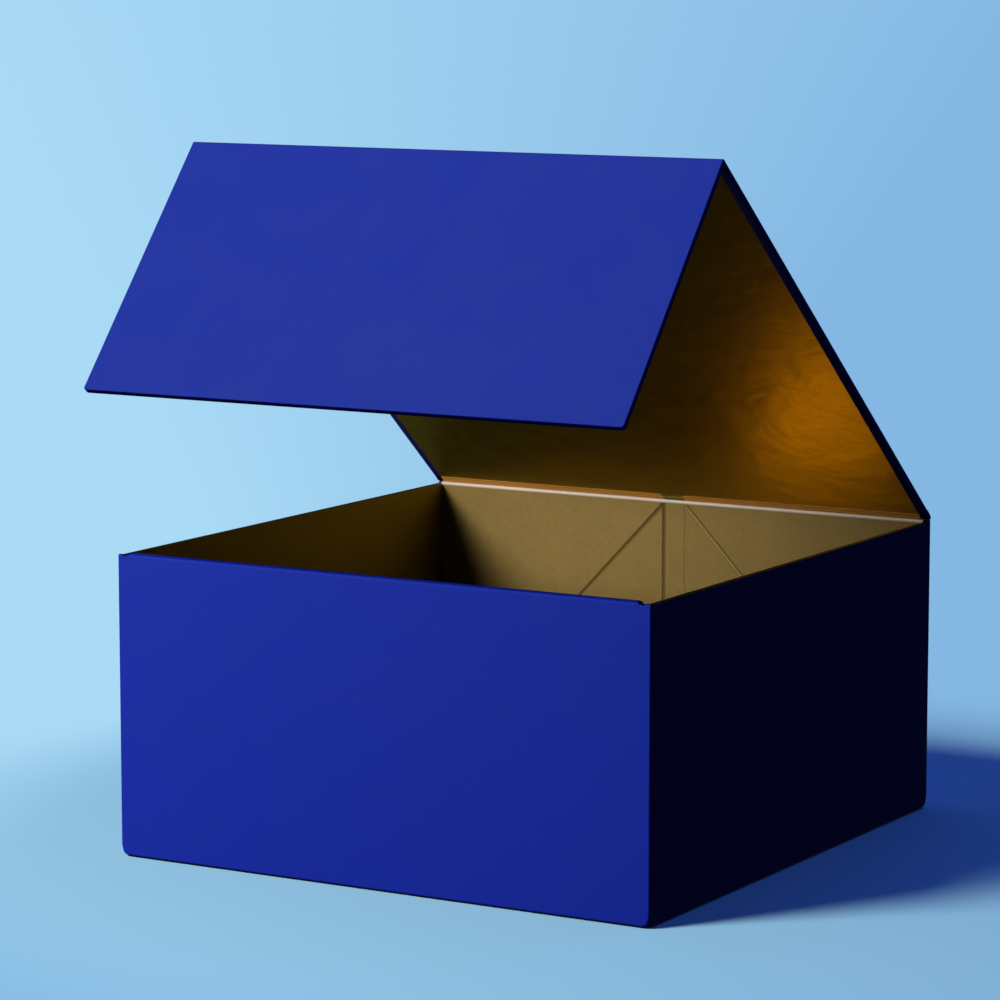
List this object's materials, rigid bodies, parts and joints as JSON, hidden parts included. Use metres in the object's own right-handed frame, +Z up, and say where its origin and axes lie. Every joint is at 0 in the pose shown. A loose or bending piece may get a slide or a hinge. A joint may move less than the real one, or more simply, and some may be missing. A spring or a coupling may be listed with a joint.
{
  "type": "lidded board storage box",
  "caption": "Rigid paper-covered board box with a back-hinged lid, a full-height magnetic front flap and a creased gusset layer inside the back wall.",
  "frame": {"origin": "centre of the underside, on the surface that the box rests on", "axes": "+X to the right seen from the front, +Y to the back, +Z up"},
  "size_m": [0.25, 0.2796, 0.295],
  "materials": {
    "cover_paper": "matt smooth dyed paper, cobalt blue",
    "lining_paper": "satin metallic gold paper with a fine laid grain",
    "greyboard": "raw greyboard",
    "steel": "plain steel disc",
    "magnet": "nickel-plated disc magnet"
  },
  "bodies": {
    "tray": {"base_cover": "cover_paper", "base_board": "greyboard", "base_lining": "lining_paper", "front_board": "greyboard", "front_plate_left": "steel", "front_plate_right": "steel", "front_inner_board": "greyboard", "front_lining": "lining_paper", "front_cover": "cover_paper", "left_wall_board": "greyboard", "left_wall_lining": "lining_paper", "left_wall_cover": "cover_paper", "right_wall_board": "greyboard", "right_wall_lining": "lining_paper", "right_wall_cover": "cover_paper", "back_board": "greyboard", "back_cover": "cover_paper", "back_lining": "lining_paper", "back_top_fold": "lining_paper", "gusset_upper_left": "greyboard", "gusset_upper_left_facing": "lining_paper", "gusset_lower_left": "greyboard", "gusset_lower_left_facing": "lining_paper", "gusset_upper_right": "greyboard", "gusset_upper_right_facing": "lining_paper", "gusset_lower_right": "greyboard", "gusset_lower_right_facing": "lining_paper", "gusset_centre": "greyboard", "gusset_centre_facing": "lining_paper"},
    "lid": {"lid_board": "greyboard", "lid_lining": "lining_paper", "lid_cover": "cover_paper", "lid_hinge_cloth": "cover_paper", "lid_hinge_strip_left": "lining_paper", "lid_hinge_strip_right": "lining_paper"},
    "flap": {"flap_board": "greyboard", "flap_lining": "lining_paper", "flap_cover": "cover_paper", "flap_magnet_left": "magnet", "flap_magnet_right": "magnet"}
  },
  "joints": [
    {"name": "lid_hinge", "type": "hinge", "parent": "tray", "child": "lid", "pos_m": [0, 0.1259, 0.1285], "axis": [-1, 0, 0], "range_deg": [-39.7, 140.3], "deforming": ["lid_hinge_cloth", "lid_hinge_strip_left", "lid_hinge_strip_right"]},
    {"name": "flap_hinge", "type": "hinge", "parent": "lid", "child": "flap", "pos_m": [0, -0.07064, 0.29505], "axis": [-1, 0, 0], "range_deg": [0, 90]}
  ]
}
